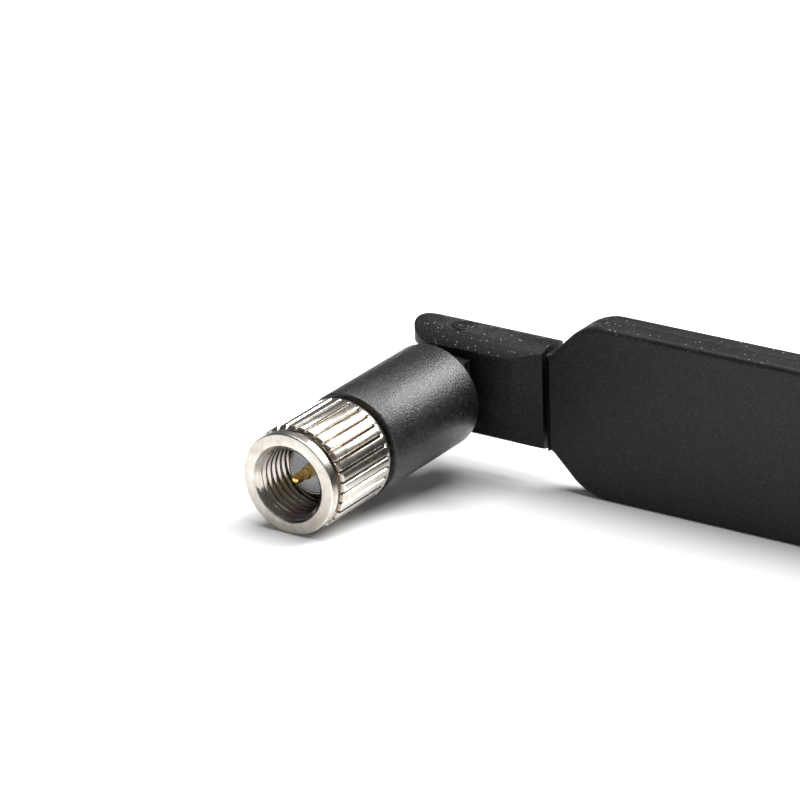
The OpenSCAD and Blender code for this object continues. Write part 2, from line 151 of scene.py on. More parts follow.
blade_low, blade_high = upright_box("blade_front_shell")
BLADE_START = blade_low.x
BLADE_TIP = blade_high.x
BLADE_HALF_W = blade_high.z
BLADE_HALF_T = 1.9
BLADE_EDGE_R = 0.55
NECK_HALF = 4.5
RAMP_X = 9.85
SHOULDER_R = 4.7
TIP_R = 5.0
SHELL_WALL = 0.8
PARTING_GAP = 0.04
ROOM_X = 14.2

CABLE_R = 0.565
CABLE_Y = -0.2
BEND_R = 3.0

# faces wider than this are flats, which nothing rubs
BROAD_FACE = 0.6
# bars and blocks that cut right through reach this far
CLEAR = 9

# ---------------------------------------------------------------- shaping helpers


def turned(outline, steps=144):
    """An outline of [radius, at] points spun about the plug axis."""
    bm = bmesh.new()
    points = [bm.verts.new((r, -at, 0)) for r, at in outline]
    pairs = zip(points, points[1:] + points[:1])
    rims = [bm.edges.new(p) for p in pairs if p[0].co.x + p[1].co.x > 1e-6]
    bmesh.ops.spin(
        bm, geom=points + rims, cent=(0, 0, 0), axis=(0, 1, 0),
        angle=2 * math.pi, steps=steps, use_merge=True,
    )
    return closed(bm)


def closed(bm, distance=0.0005):
    """bm with its doubles merged and its faces turned outward."""
    bmesh.ops.remove_doubles(bm, verts=bm.verts, dist=distance)
    bmesh.ops.recalc_face_normals(bm, faces=bm.faces)
    return bm


def rod(radius, start, end, steps=96):
    """A plain round bar from one point to another, used to add or cut."""
    start, end = Vector(start), Vector(end)
    along = end - start
    turn = along.to_track_quat("Z", "Y").to_matrix().to_4x4()
    place = Matrix.Translation((start + end) / 2) @ turn
    bm = bmesh.new()
    bmesh.ops.create_cone(
        bm, cap_ends=True, segments=steps, radius1=radius, radius2=radius,
        depth=along.length, matrix=place,
    )
    return closed(bm)


def block(low, high):
    """A plain block between two corners, used to add or cut."""
    low, high = Vector(low), Vector(high)
    size = Matrix.Diagonal((high - low).to_4d())
    size[3][3] = 1
    bm = bmesh.new()
    bmesh.ops.create_cube(bm, size=1, matrix=Matrix.Translation((low + high) / 2) @ size)
    return bm


def slab(corners, low_z, high_z):
    """A flat outline of (x, y) corners extruded along the hinge axis."""
    bm = bmesh.new()
    face = bm.faces.new([bm.verts.new((x, y, low_z)) for x, y in corners])
    grown = bmesh.ops.extrude_face_region(bm, geom=[face])["geom"]
    rising = [g for g in grown if isinstance(g, bmesh.types.BMVert)]
    bmesh.ops.translate(bm, verts=rising, vec=(0, 0, high_z - low_z))
    return closed(bm)


def loose_object(name, bm):
    mesh = bpy.data.meshes.new(name)
    bm.to_mesh(mesh)
    bm.free()
    made = bpy.data.objects.new(name, mesh)
    bpy.context.scene.collection.objects.link(made)
    return made


def combined(bm, operation, *tools, merge_flats=True):
    """bm after each tool is joined to it (UNION), cut from it or intersected with it."""
    for tool in tools:
        work, cutter = loose_object("work", bm), loose_object("cutter", tool)
        step = work.modifiers.new("combine", "BOOLEAN")
        step.operation = operation
        step.solver = "MANIFOLD"
        step.object = cutter
        settled = work.evaluated_get(bpy.context.evaluated_depsgraph_get())
        mesh = bpy.data.meshes.new_from_object(settled)
        bm = bmesh.new()
        bm.from_mesh(mesh)
        for spent in (work, cutter):
            old = spent.data
            bpy.data.objects.remove(spent)
            bpy.data.meshes.remove(old)
        bpy.data.meshes.remove(mesh)
    bmesh.ops.remove_doubles(bm, verts=bm.verts, dist=0.002)
    if merge_flats:
        bmesh.ops.dissolve_limit(
            bm, angle_limit=math.radians(0.4), verts=bm.verts, edges=bm.edges,
            use_dissolve_boundaries=False,
        )
    return bm


def softened(bm, width, segments=3, angle=26):
    """bm with every edge sharper than angle given a rounded break."""
    sharp = [
        e for e in bm.edges
        if len(e.link_faces) == 2 and e.calc_face_angle() > math.radians(angle)
    ]
    bmesh.ops.bevel(
        bm, geom=sharp, offset=width, offset_type="OFFSET", segments=segments,
        profile=0.5, affect="EDGES", clamp_overlap=True, material=-1,
    )
    return bm


def mark_rubbed_edges(bm):
    """Stores how far each point sits out on a rounded edge, for the wear in the finishes."""
    layer = bm.verts.layers.float.new("edge_rub")
    broad = {f for f in bm.faces if 2 * f.calc_area() / f.calc_perimeter() > BROAD_FACE}
    for v in bm.verts:
        bends = [e.calc_face_angle_signed(0.0) for e in v.link_edges if len(e.link_faces) == 2]
        bend = math.degrees(max(bends, default=0))
        v[layer] = 0 if broad.intersection(v.link_faces) else min(max((bend - 16) / 12, 0), 1)


def finished(name, bm, body, slot, stands_for, sharp=32):
    """Lays a workshop mesh down into the part's frame and hangs it on its body."""
    mark_rubbed_edges(bm)
    bmesh.ops.transform(bm, matrix=lay_down, verts=bm.verts)
    piece = loose_object(name, bm)
    piece.data.materials.append(finishes[slot])
    for face in piece.data.polygons:
        face.use_smooth = True
    piece.data.set_sharp_from_angle(angle=math.radians(sharp))
    if body:
        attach(piece, body)
    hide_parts(*stands_for)
    return piece


# ---------------------------------------------------------------- shader helpers


def add(tree, kind, inputs=None, **settings):
    """A new node with its settings, its constants and its incoming links."""
    made = tree.nodes.new(kind)
    for key, value in settings.items():
        setattr(made, key, value)
    for key, value in (inputs or {}).items():
        if isinstance(value, bpy.types.NodeSocket):
            tree.links.new(value, made.inputs[key])
        else:
            made.inputs[key].default_value = value
    return made


def maths(tree, operation, *values):
    return add(
        tree, "ShaderNodeMath", dict(enumerate(values)), operation=operation
    ).outputs[0]


def blend_colour(tree, factor, first, second, mode="MIX"):
    made = add(tree, "ShaderNodeMix", data_type="RGBA", blend_type=mode)
    sockets = {s.identifier: s for s in (*made.inputs, *made.outputs)}
    for label, value in (("Factor_Float", factor), ("A_Color", first), ("B_Color", second)):
        if isinstance(value, bpy.types.NodeSocket):
            tree.links.new(value, sockets[label])
        else:
            sockets[label].default_value = (*value, 1)
    return sockets["Result_Color"]


def ramp(tree, value, low, high, out_low=0.0, out_high=1.0):
    return add(
        tree, "ShaderNodeMapRange",
        {"Value": value, "From Min": low, "From Max": high, "To Min": out_low, "To Max": out_high},
        interpolation_type="SMOOTHSTEP",
    ).outputs["Result"]


def noise(tree, place, scale, detail=2.0, roughness=0.5, seed=0.0):
    return add(
        tree, "ShaderNodeTexNoise",
        {"Vector": place, "W": seed, "Scale": scale, "Detail": detail, "Roughness": roughness},
        noise_dimensions="4D",
    ).outputs["Fac"]


def workshop_place(tree):
    """Object coordinates turned back into the upright workshop frame, in mm."""
    return add(
        tree, "ShaderNodeMapping",
        {
            "Vector": add(tree, "ShaderNodeTexCoord").outputs["Object"],
            "Location": stand_up.to_translation(),
            "Rotation": (-lean, 0, 0),
            "Scale": (1 / MM, 1 / MM, 1 / MM),
        },
    ).outputs["Vector"]


def new_group(name, inputs, outputs):
    group = bpy.data.node_groups.new(name, "ShaderNodeTree")
    for label, kind, value in inputs:
        socket = group.interface.new_socket(label, in_out="INPUT", socket_type=kind)
        if value is not None:
            socket.default_value = value
    for label in outputs:
        group.interface.new_socket(label, in_out="OUTPUT", socket_type="NodeSocketFloat")
    return group, add(group, "NodeGroupInput"), add(group, "NodeGroupOutput")


def use_group(tree, group, inputs):
    made = add(tree, "ShaderNodeGroup", node_tree=group)
    for key, value in inputs.items():
        if isinstance(value, bpy.types.NodeSocket):
            tree.links.new(value, made.inputs[key])
        else:
            made.inputs[key].default_value = value
    return made


# ---------------------------------------------------------------- shared effects


def moulded_grain_group():
    """Spark-eroded mould texture: fine pits, a speck mask for painted glints on their lips, and
    slow patches.
    """
    group, given, result = new_group(
        "moulded_grain",
        [("Place", "NodeSocketVector", None), ("Pitch mm", "NodeSocketFloat", 0.12)],
        ("Height", "Glints", "Patches"),
    )
    place = given.outputs["Place"]
    fine = maths(group, "DIVIDE", 1.0, given.outputs["Pitch mm"])
    pits = noise(group, place, fine, 2, 0.6)
    grit = noise(group, place, maths(group, "MULTIPLY", fine, 2.3), 1, 0.5, 3.0)
    height = maths(group, "MULTIPLY_ADD", grit, 0.4, pits)
    glint_noise = noise(group, place, maths(group, "MULTIPLY", fine, 1.2), 1, 0.5, 7.0)
    glints = ramp(group, glint_noise, 0.5, 0.7)
    patches = noise(group, place, 0.3, 3, 0.5, 11.0)
    for label, value in (("Height", height), ("Glints", glints), ("Patches", patches)):
        group.links.new(value, result.inputs[label])
    return group


def settled_dust_group():
    """Scattered specks of dust, thicker on faces that look up."""
    group, given, result = new_group(
        "settled_dust",
        [
            ("Place", "NodeSocketVector", None),
            ("Size mm", "NodeSocketFloat", 0.08),
            ("Spacing mm", "NodeSocketFloat", 0.45),
            ("Share", "NodeSocketFloat", 0.5),
        ],
        ("Specks",),
    )
    cells = add(
        group, "ShaderNodeTexVoronoi",
        {
            "Vector": given.outputs["Place"],
            "Scale": maths(group, "DIVIDE", 1.0, given.outputs["Spacing mm"]),
            "Randomness": 1.0,
        },
    )
    lot = add(group, "ShaderNodeSeparateColor", {"Color": cells.outputs["Color"]})
    reach = maths(group, "DIVIDE", given.outputs["Size mm"], given.outputs["Spacing mm"])
    reach = maths(group, "MULTIPLY", reach, maths(group, "ADD", lot.outputs["Green"], 0.35))
    near = maths(group, "LESS_THAN", cells.outputs["Distance"], reach)
    chosen = maths(group, "LESS_THAN", lot.outputs["Red"], given.outputs["Share"])
    facing = add(
        group, "ShaderNodeSeparateXYZ",
        {"Vector": add(group, "ShaderNodeNewGeometry").outputs["Normal"]},
    ).outputs["Z"]
    upward = ramp(group, facing, 0.1, 0.8, 0.06, 1.0)
    specks = maths(group, "MULTIPLY", maths(group, "MULTIPLY", near, chosen), upward)
    group.links.new(specks, result.inputs["Specks"])
    return group


def lathe_marks_group():
    """Fine turning rings about the plug axis, on faces and on rounds alike."""
    group, given, result = new_group(
        "lathe_marks",
        [("Place", "NodeSocketVector", None), ("Pitch mm", "NodeSocketFloat", 0.05)],
        ("Height", "Radius", "At"),
    )
    parts = add(group, "ShaderNodeSeparateXYZ", {"Vector": given.outputs["Place"]})
    squares = maths(
        group, "ADD",
        maths(group, "POWER", parts.outputs["X"], 2.0),
        maths(group, "POWER", parts.outputs["Z"], 2.0),
    )
    radius = maths(group, "SQRT", squares)
    at = maths(group, "MULTIPLY", parts.outputs["Y"], -1.0)
    ringed = add(group, "ShaderNodeCombineXYZ", {"X": radius, "Y": at, "Z": 0.0}).outputs["Vector"]
    height = noise(group, ringed, maths(group, "DIVIDE", 1.0, given.outputs["Pitch mm"]), 2, 0.6)
    for label, value in (("Height", height), ("Radius", radius), ("At", at)):
        group.links.new(value, result.inputs[label])
    return group


def edge_wear_group():
    """Rubbed edges: the stored edge mask broken up by slow noise."""
    group, given, result = new_group(
        "edge_wear",
        [("Place", "NodeSocketVector", None), ("Amount", "NodeSocketFloat", 0.5)],
        ("Rubbed",),
    )
    stored = add(group, "ShaderNodeAttribute", attribute_name="edge_rub").outputs["Fac"]
    broken = ramp(group, noise(group, given.outputs["Place"], 1.1, 4, 0.65, 5.0), 0.35, 0.65)
    patchy = maths(group, "MULTIPLY", stored, broken)
    rubbed = maths(group, "MULTIPLY", patchy, given.outputs["Amount"])
    group.links.new(rubbed, result.inputs["Rubbed"])
    return group


GRAIN = moulded_grain_group()
DUST = settled_dust_group()
LATHE = lathe_marks_group()
WEAR = edge_wear_group()

# ---------------------------------------------------------------- finishes

ABS_BLACK = (0.0062, 0.0064, 0.0068)


def start_material(name):
    material = bpy.data.materials.new(name)
    material.use_nodes = True
    tree = material.node_tree
    tree.nodes.clear()
    shader = add(tree, "ShaderNodeBsdfPrincipled")
    out = add(tree, "ShaderNodeOutputMaterial")
    tree.links.new(shader.outputs["BSDF"], out.inputs["Surface"])
    return material, tree, shader


def bump(tree, shader, height, depth_mm, strength=1.0):
    made = add(
        tree, "ShaderNodeBump", {"Height": height, "Strength": strength, "Distance": depth_mm * MM}
    )
    tree.links.new(made.outputs["Normal"], shader.inputs["Normal"])


def black_plastic(name, pitch, depth, roughness, specks, wear, painted_glint=0.25, sheen=0.3):
    """Moulded black ABS with a spark-eroded grain, painted glints, settled dust and rubbed edges.
    """
    material, tree, shader = start_material(name)
    place = workshop_place(tree)
    grain = use_group(tree, GRAIN, {"Place": place, "Pitch mm": pitch})
    dust = use_group(
        tree, DUST, {"Place": place, "Size mm": 0.055, "Spacing mm": 0.26, "Share": specks}
    )
    worn = use_group(tree, WEAR, {"Place": place, "Amount": wear})
    dark = [0.8 * t for t in ABS_BLACK]
    light = [1.25 * t for t in ABS_BLACK]
    colour = blend_colour(tree, ramp(tree, grain.outputs["Patches"], 0.35, 0.65), dark, light)
    # painted glints: light grey specks mixed into the base colour stand in for the sparkle of
    # highlights on the grain
    colour = blend_colour(
        tree, maths(tree, "MULTIPLY", grain.outputs["Glints"], painted_glint), colour, (0.10, 0.10, 0.105)
    )
    colour = blend_colour(tree, worn.outputs["Rubbed"], colour, (0.09, 0.09, 0.095))
    colour = blend_colour(
        tree, maths(tree, "MULTIPLY", dust.outputs["Specks"], 0.6), colour, (0.45, 0.45, 0.44)
    )
    tree.links.new(colour, shader.inputs["Base Color"])
    gloss = ramp(tree, grain.outputs["Patches"], 0.3, 0.7, roughness - 0.03, roughness + 0.04)
    gloss = maths(tree, "MULTIPLY_ADD", worn.outputs["Rubbed"], -0.08, gloss)
    gloss = maths(tree, "MULTIPLY_ADD", dust.outputs["Specks"], 0.3, gloss)
    tree.links.new(gloss, shader.inputs["Roughness"])
    shader.inputs["Specular IOR Level"].default_value = sheen
    shader.inputs["IOR"].default_value = 1.47
    bump(tree, shader, grain.outputs["Height"], depth)
    return material


def nickel_plate(name, tone, roughness, shade_below_r):
    """Satin nickel over turned brass, with painted brown shade where the radius falls below
    shade_below_r and painted shade low in the bore.
    """
    material, tree, shader = start_material(name)
    place = workshop_place(tree)
    rings = use_group(tree, LATHE, {"Place": place, "Pitch mm": 0.05})
    worn = use_group(tree, WEAR, {"Place": place, "Amount": 0.6})
    cloud = noise(tree, place, 0.9, 4, 0.6, 2.0)
    tarnish = [t * w for t, w in zip(tone, (0.90, 0.87, 0.82))]
    colour = blend_colour(tree, ramp(tree, cloud, 0.38, 0.68), tone, tarnish)
    radius, at = rings.outputs["Radius"], rings.outputs["At"]
    # painted shade with a brown cast, standing in for the dark reflections in the knurl grooves and
    # the recess behind the front ring
    grooved = ramp(tree, radius, shade_below_r - 0.14, shade_below_r, 1.0, 0.0)
    outside = ramp(tree, radius, 3.9, 4.1)
    behind = ramp(tree, at, NUT_FRONT - 0.98, NUT_FRONT - 0.9, 1.0, 0.0)
    groove_shade = maths(tree, "MULTIPLY", maths(tree, "MULTIPLY", grooved, outside), behind)
    colour = blend_colour(tree, maths(tree, "MULTIPLY", groove_shade, 0.8), colour, (0.13, 0.09, 0.055))
    inside = ramp(tree, radius, 3.28, 3.42, 1.0, 0.0)
    stain = noise(tree, place, 0.7, 2, 0.5, 13.0)
    film = blend_colour(tree, ramp(tree, stain, 0.42, 0.62), (0.62, 0.36, 0.46), (0.36, 0.38, 0.60))
    parts = add(tree, "ShaderNodeSeparateXYZ", {"Vector": place})
    stained_side = maths(tree, "SUBTRACT", parts.outputs["X"], parts.outputs["Z"])
    filmed = maths(tree, "MULTIPLY", inside, ramp(tree, stained_side, 0.5, 3.4, 0.0, 0.75))
    colour = blend_colour(tree, filmed, colour, film, "MULTIPLY")
    # painted shade: the bore's colour darkened and tinted olive towards its lower side
    painted_bore_shade = maths(tree, "MULTIPLY", inside, ramp(tree, parts.outputs["Z"], -2.8, 0.6, 0.6, 0.0))
    colour = blend_colour(tree, painted_bore_shade, colour, (0.62, 0.60, 0.50), "MULTIPLY")
    colour = blend_colour(tree, worn.outputs["Rubbed"], colour, (0.86, 0.82, 0.76))
    tree.links.new(colour, shader.inputs["Base Color"])
    shader.inputs["Metallic"].default_value = 1.0
    gloss = ramp(tree, cloud, 0.3, 0.7, roughness - 0.03, roughness + 0.05)
    face = ramp(tree, at, NUT_FRONT - 0.03, NUT_FRONT - 0.01, 0.0, 0.1)
    gloss = maths(tree, "MULTIPLY_ADD", inside, -0.08, maths(tree, "ADD", gloss, face))
    tree.links.new(gloss, shader.inputs["Roughness"])
    fine = noise(tree, place, 14.0, 3, 0.6, 8.0)
    height = maths(tree, "MULTIPLY_ADD", fine, 0.8, rings.outputs["Height"])
    bump(tree, shader, height, 0.0009)
    return material


def turned_metal(name, tone, roughness, pitch=0.06, depth=0.002):
    """Plated or plain turned metal with rings and slight colour drift."""
    material, tree, shader = start_material(name)
    place = workshop_place(tree)
    rings = use_group(tree, LATHE, {"Place": place, "Pitch mm": pitch})
    worn = use_group(tree, WEAR, {"Place": place, "Amount": 0.7})
    cloud = noise(tree, place, 2.2, 3, 0.6, 4.0)
    deep = [t * w for t, w in zip(tone, (0.85, 0.76, 0.62))]
    bright = [min(1.0, 1.12 * t) for t in tone]
    colour = blend_colour(tree, ramp(tree, cloud, 0.35, 0.7), tone, deep)
    colour = blend_colour(tree, worn.outputs["Rubbed"], colour, bright)
    tree.links.new(colour, shader.inputs["Base Color"])
    shader.inputs["Metallic"].default_value = 1.0
    tree.links.new(
        ramp(tree, cloud, 0.3, 0.7, roughness - 0.04, roughness + 0.05), shader.inputs["Roughness"]
    )
    bump(tree, shader, rings.outputs["Height"], depth)
    return material


def ptfe_plastic(name):
    """Waxy fluoropolymer with faint turning rings."""
    material, tree, shader = start_material(name)
    place = workshop_place(tree)
    rings = use_group(tree, LATHE, {"Place": place, "Pitch mm": 0.09})
    cloud = noise(tree, place, 1.4, 3, 0.5, 6.0)
    colour = blend_colour(tree, ramp(tree, cloud, 0.3, 0.7), (0.52, 0.55, 0.60), (0.62, 0.64, 0.68))
    tree.links.new(colour, shader.inputs["Base Color"])
    tree.links.new(ramp(tree, cloud, 0.3, 0.7, 0.42, 0.52), shader.inputs["Roughness"])
    bump(tree, shader, rings.outputs["Height"], 0.004)
    return material


def cable_jacket_plastic(name):
    """Extruded cable jacket with a faint grain."""
    material, tree, shader = start_material(name)
    place = workshop_place(tree)
    grain = use_group(tree, GRAIN, {"Place": place, "Pitch mm": 0.2})
    colour = blend_colour(
        tree, ramp(tree, grain.outputs["Patches"], 0.35, 0.65),
        (0.02, 0.02, 0.021), (0.032, 0.032, 0.034),
    )
    tree.links.new(colour, shader.inputs["Base Color"])
    tree.links.new(
        ramp(tree, grain.outputs["Patches"], 0.3, 0.7, 0.38, 0.48), shader.inputs["Roughness"]
    )
    bump(tree, shader, grain.outputs["Height"], 0.004)
    return material


def woven_braid(name):
    """Tinned copper strands laid in two crossing helices."""
    material, tree, shader = start_material(name)
    place = workshop_place(tree)
    parts = add(tree, "ShaderNodeSeparateXYZ", {"Vector": place})
    run = maths(tree, "ADD", parts.outputs["X"], parts.outputs["Y"])
    around = maths(
        tree, "ARCTAN2", parts.outputs["Z"], maths(tree, "SUBTRACT", parts.outputs["Y"], CABLE_Y)
    )
    lays = []
    for turn in (4.0, -4.0):
        phase = maths(tree, "MULTIPLY_ADD", around, turn, maths(tree, "MULTIPLY", run, 11.0))
        lays.append(maths(tree, "SINE", phase))
    height = maths(tree, "MAXIMUM", lays[0], lays[1])
    raised = ramp(tree, height, 0.1, 0.9)
    colour = blend_colour(tree, raised, (0.22, 0.20, 0.18), (0.66, 0.65, 0.63))
    tree.links.new(colour, shader.inputs["Base Color"])
    shader.inputs["Metallic"].default_value = 1.0
    tree.links.new(ramp(tree, height, 0.0, 1.0, 0.5, 0.32), shader.inputs["Roughness"])
    bump(tree, shader, height, 0.02)
    return material


def drawn_copper(name):
    """Copper wire and etched copper with slight tarnish."""
    material, tree, shader = start_material(name)
    place = workshop_place(tree)
    cloud = noise(tree, place, 1.8, 4, 0.6, 9.0)
    tarnish = ramp(tree, cloud, 0.35, 0.7)
    colour = blend_colour(tree, tarnish, (0.86, 0.46, 0.28), (0.55, 0.26, 0.15))
    tree.links.new(colour, shader.inputs["Base Color"])
    shader.inputs["Metallic"].default_value = 1.0
    tree.links.new(ramp(tree, cloud, 0.3, 0.7, 0.28, 0.42), shader.inputs["Roughness"])
    bump(tree, shader, noise(tree, place, 12.0, 3, 0.6), 0.003)
    return material


def frozen_solder(name):
    """Solder with the slightly grainy skin it freezes with."""
    material, tree, shader = start_material(name)
    place = workshop_place(tree)
    skin = noise(tree, place, 5.0, 4, 0.6, 1.0)
    colour = blend_colour(tree, ramp(tree, skin, 0.3, 0.7), (0.55, 0.55, 0.56), (0.74, 0.74, 0.75))
    tree.links.new(colour, shader.inputs["Base Color"])
    shader.inputs["Metallic"].default_value = 1.0
    tree.links.new(ramp(tree, skin, 0.3, 0.7, 0.22, 0.4), shader.inputs["Roughness"])
    bump(tree, shader, skin, 0.02)
    return material


def board_mask(name):
    """Green solder mask over a glass weave."""
    material, tree, shader = start_material(name)
    place = workshop_place(tree)
    parts = add(tree, "ShaderNodeSeparateXYZ", {"Vector": place})
    weave = maths(
        tree, "MULTIPLY",
        maths(tree, "SINE", maths(tree, "MULTIPLY", parts.outputs["X"], 12.0)),
        maths(tree, "SINE", maths(tree, "MULTIPLY", parts.outputs["Z"], 12.0)),
    )
    cloud = noise(tree, place, 0.8, 3, 0.5)
    crossings = ramp(tree, weave, -1.0, 1.0)
    colour = blend_colour(tree, crossings, (0.010, 0.085, 0.030), (0.018, 0.130, 0.045))
    tree.links.new(colour, shader.inputs["Base Color"])
    tree.links.new(ramp(tree, cloud, 0.3, 0.7, 0.25, 0.38), shader.inputs["Roughness"])
    bump(tree, shader, weave, 0.004)
    return material


finishes = {
    "nickel_nut": nickel_plate("satin_nickel_nut", (0.54, 0.51, 0.468), 0.24, 4.56),
    "nickel_body": turned_metal("nickel_plug_body", (0.66, 0.63, 0.58), 0.24),
    "gold_plate": turned_metal("gold_contact", (0.80, 0.55, 0.20), 0.2, 0.04, 0.0015),
    "brass_part": turned_metal("turned_brass", (0.72, 0.56, 0.28), 0.3),
    "ptfe": ptfe_plastic("ptfe_dielectric"),
    "sleeve_plastic": black_plastic(
        "sleeve_abs", pitch=0.17, depth=0.05, roughness=0.3, specks=0.02,
        wear=0.35, painted_glint=0.4, sheen=0.5,
    ),
    "arm_plastic": black_plastic(
        "arm_abs", pitch=0.18, depth=0.045, roughness=0.42, specks=0.3,
        wear=0.35, painted_glint=0.15, sheen=0.2,
    ),
    "pin_plastic": black_plastic(
        "pin_abs", pitch=0.19, depth=0.04, roughness=0.32, specks=0.2,
        wear=0.5,
    ),
    "blade_plastic": black_plastic(
        "blade_abs", pitch=0.17, depth=0.035, roughness=0.46, specks=0.16,
        wear=0.3, painted_glint=0.15, sheen=0.32,
    ),
    "cable_jacket": cable_jacket_plastic("jacket"),
    "tinned_braid": woven_braid("braid"),
    "copper": drawn_copper("bare_copper"),
    "solder": frozen_solder("solder_joint"),
    "board_laminate": board_mask("board"),
}


def dress_frame_nodes():
    """Gives every carried-over CAD node the finish of its slot."""
    for cad_node in frame["nodes"].values():
        for held in cad_node.material_slots:
            held.material = finishes[held.material.name]


# ---------------------------------------------------------------- plug and nut

# the eight stations of one knurl tooth: angle in degrees from the crest, depth as a share
TOOTH = ((0, 0), (3.2, 0), (3.9, 0.05), (4.35, 0.24), (6, 1), (7.65, 0.24), (8.1, 0.05), (8.8, 0))


def cut_knurl(bm):
    """Moves the points of the nut's outer skin so that V grooves run along it."""
    step = 2 * math.pi / (KNURL_COUNT * len(TOOTH))
    for v in bm.verts:
        radius, at = math.hypot(v.co.x, v.co.z), -v.co.y
        if radius < 4.0 or at > KNURL_FRONT + 0.01 or at < KNURL_BACK - 0.01:
            continue
        index = round(math.atan2(v.co.z, v.co.x) / step)
        tooth, station = divmod(index, len(TOOTH))
        angle = 2 * math.pi * tooth / KNURL_COUNT + math.radians(TOOTH[station][0])
        run_out = min(max((at - KNURL_BACK) / 0.3, 0), 1)
        floor_r = CREST_R - KNURL_DEPTH * TOOTH[station][1] * run_out
        radius = min(radius, floor_r)
        v.co.x, v.co.z = radius * math.cos(angle), radius * math.sin(angle)


def thread_ridge():
    """One right-hand helical ridge, faded out by the mouth's chamfer."""
    wall = THREAD_MAJOR_R + 0.04
    tooth = ((wall, -0.33), (THREAD_MINOR_R + 0.11, -0.18), (THREAD_MINOR_R + 0.03, -0.1),
             (THREAD_MINOR_R, 0), (THREAD_MINOR_R + 0.03, 0.1), (THREAD_MINOR_R + 0.11, 0.18),
             (wall, 0.33))
    start = THREAD_BACK + 0.33
    turns = (NUT_FRONT - 0.1 - start) / THREAD_PITCH
    steps = round(64 * turns)
    bm = bmesh.new()
    points = [bm.verts.new((r, -(start + a), 0)) for r, a in tooth]
    rims = [bm.edges.new(pair) for pair in zip(points, points[1:] + points[:1])]
    bmesh.ops.spin(
        bm, geom=points + rims, cent=(0, 0, 0), axis=(0, -1, 0),
        dvec=(0, -THREAD_PITCH * turns / steps, 0), angle=2 * math.pi * turns, steps=steps,
    )
    for v in bm.verts:
        radius, at = math.hypot(v.co.x, v.co.z), -v.co.y
        chamfer_r = MOUTH_R + 0.01 - (NUT_FRONT - min(at, NUT_FRONT - 0.02))
        grown = max(radius, min(chamfer_r, MOUTH_R - 0.02)) / radius
        v.co.x, v.co.z = v.co.x * grown, v.co.z * grown
    bmesh.ops.holes_fill(bm, edges=[e for e in bm.edges if e.is_boundary])
    return closed(bm)


def joined(bm, other):
    """bm with another closed shell added to the same mesh."""
    mesh = bpy.data.meshes.new("added")
    other.to_mesh(mesh)
    other.free()
    bm.from_mesh(mesh)
    bpy.data.meshes.remove(mesh)
    return bm


def make_nut():
    front, back = NUT_FRONT, NUT_BACK
    outline = [
        (MOUTH_R, front - 0.02), (MOUTH_R + 0.03, front),
        (RING_R - 0.15, front), (RING_R - 0.06, front - 0.03), (RING_R - 0.015, front - 0.08),
        (RING_R, front - 0.16), (RING_R, front - RING_BAND + 0.06),
        (RING_R - 0.03, front - RING_BAND + 0.01), (RING_R - 0.1, front - RING_BAND),
        (RING_R - 0.32, KNURL_FRONT + 0.03), (RING_R - 0.3, KNURL_FRONT),
        (CREST_R - 0.3, KNURL_FRONT - 0.03), (CREST_R - 0.14, KNURL_FRONT - 0.15),
        (CREST_R - 0.04, KNURL_FRONT - 0.25), (CREST_R, KNURL_FRONT - 0.34),
        (CREST_R, KNURL_BACK + 0.3), (CREST_R, KNURL_BACK + 0.15), (CREST_R, KNURL_BACK),
        (CREST_R - 0.05, back + 0.6), (CREST_R - 0.2, back + 0.3),
        (CREST_R - 0.38, back + 0.08), (CREST_R - 0.5, back),
        (NUT_BORE_R + 0.05, back), (NUT_BORE_R, back + 0.05),
        (NUT_BORE_R, GROOVE_BACK + 0.06), (NUT_GROOVE_R, GROOVE_BACK + 0.06),
        (NUT_GROOVE_R, FLANGE_BACK - 0.02), (NUT_BORE_R, FLANGE_BACK - 0.02),
        (NUT_BORE_R, FLANGE_BACK + 0.3), (NUT_RELIEF_R, FLANGE_BACK + 0.3),
        (NUT_RELIEF_R, THREAD_BACK), (THREAD_MAJOR_R, THREAD_BACK),
        (THREAD_MAJOR_R, front + THREAD_MAJOR_R - MOUTH_R),
    ]
    bm = turned(outline, KNURL_COUNT * len(TOOTH))
    cut_knurl(bm)
    bm = joined(bm, thread_ridge())
    return finished("knurled_nut", bm, "coupling_nut_body", "nickel_nut", ["coupling_nut"], 30)


def make_plug_body():
    bm = turned([
        (CONTACT_BORE, MATING), (CONTACT_R, MATING), (CONTACT_R, FLANGE_FRONT),
        (BODY_R, FLANGE_FRONT), (BODY_R, FLANGE_BACK), (RING_GROOVE_R, FLANGE_BACK),
        (RING_GROOVE_R, GROOVE_BACK), (BODY_R, GROOVE_BACK), (BODY_R, COLLAR_FRONT),
        (COLLAR_R, COLLAR_FRONT), (COLLAR_R, COLLAR_BACK), (STUB_R, COLLAR_BACK),
        (STUB_R, STUB_BACK), (STUB_BORE_R, STUB_BACK), (STUB_BORE_R, 16.4),
        (1.05, 16.4), (1.05, INSULATOR_BACK - 0.4), (CONTACT_BORE, INSULATOR_BACK - 0.4),
    ])
    return finished("plug_barrel", softened(bm, 0.05), "plug", "nickel_body", ["plug_body"])


def make_insulator():
    outer, front = CONTACT_BORE - 0.02, MATING - 0.06
    bm = turned([
        (PIN_TAIL_R + 0.02, MATING - 0.75), (PIN_BASE_R + 0.02, MATING - 0.75),
        (PIN_BASE_R + 0.02, front), (outer, front), (outer, INSULATOR_BACK),
        (PIN_TAIL_R + 0.02, INSULATOR_BACK),
    ], 120)
    return finished("dielectric_bead", softened(bm, 0.04), "plug", "ptfe", ["plug_insulator"])


